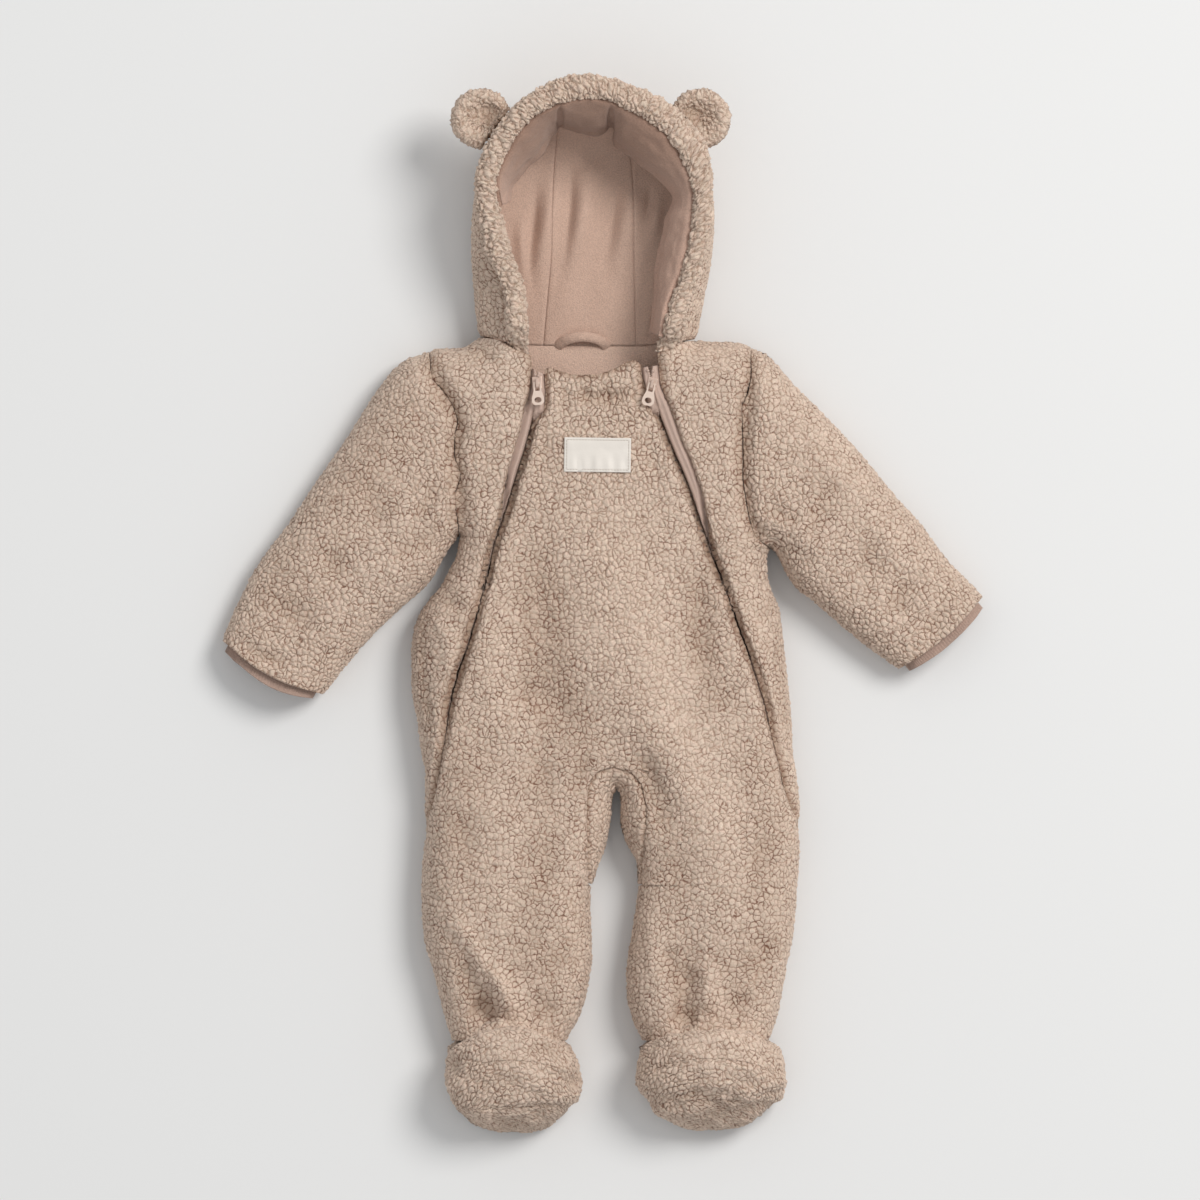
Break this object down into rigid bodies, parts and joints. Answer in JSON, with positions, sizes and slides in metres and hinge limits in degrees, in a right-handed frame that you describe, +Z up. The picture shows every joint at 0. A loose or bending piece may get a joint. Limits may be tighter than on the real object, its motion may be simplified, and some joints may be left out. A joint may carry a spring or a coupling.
{
  "type": "pramsuit",
  "caption": "Baby's pile-fleece pramsuit with an eared hood, closed feet and zips down the front, laid out on its back.",
  "frame": {"origin": "middle of the underside's bounding box, on the surface it lies on", "axes": "+Y towards the top of the hood, +X towards the wearer's left sleeve, +Z up off the surface"},
  "size_m": [0.5494, 0.762, 0.0885],
  "materials": {
    "pile_fleece": "curly pile",
    "smooth_fleece": "brushed",
    "rib_knit": "rib",
    "zip_tape": "woven",
    "slider_metal": "satin",
    "pull_plastic": "satin",
    "satin": "satin"
  },
  "bodies": {
    "garment": {"back_left": "pile_fleece", "back_right": "pile_fleece", "crotch_gusset": "pile_fleece", "cuff_left": "rib_knit", "cuff_right": "rib_knit", "ear_left_back": "pile_fleece", "ear_left_front": "pile_fleece", "ear_right_back": "pile_fleece", "ear_right_front": "pile_fleece", "foot_left_heel": "pile_fleece", "foot_left_sole": "pile_fleece", "foot_left_toe": "pile_fleece", "foot_left_vamp": "pile_fleece", "foot_right_heel": "pile_fleece", "foot_right_sole": "pile_fleece", "foot_right_toe": "pile_fleece", "foot_right_vamp": "pile_fleece", "front_middle": "pile_fleece", "hanger_loop": "smooth_fleece", "hood_brim": "pile_fleece", "hood_centre": "pile_fleece", "hood_facing": "smooth_fleece", "hood_side_left": "pile_fleece", "hood_side_right": "pile_fleece", "label": "satin", "lining_centre": "smooth_fleece", "lining_side_left": "smooth_fleece", "lining_side_right": "smooth_fleece", "neck_lining": "smooth_fleece", "side_front_left": "pile_fleece", "side_front_right": "pile_fleece", "sleeve_left": "pile_fleece", "sleeve_right": "pile_fleece", "slider_left": "slider_metal", "slider_right": "slider_metal", "zip_tape_left": "zip_tape", "zip_tape_right": "zip_tape"},
    "tab_left": {"pull_left": "pull_plastic"},
    "tab_right": {"pull_right": "pull_plastic"}
  },
  "joints": [
    {"name": "pull_left_hinge", "type": "hinge", "parent": "garment", "child": "tab_left", "pos_m": [-0.04702, 0.16006, 0.04675], "axis": [-0.9986, -0.0523, 0], "range_deg": [0, 150]},
    {"name": "pull_right_hinge", "type": "hinge", "parent": "garment", "child": "tab_right", "pos_m": [0.03564, 0.15934, 0.04675], "axis": [-0.9744, 0.225, 0], "range_deg": [0, 150]}
  ]
}
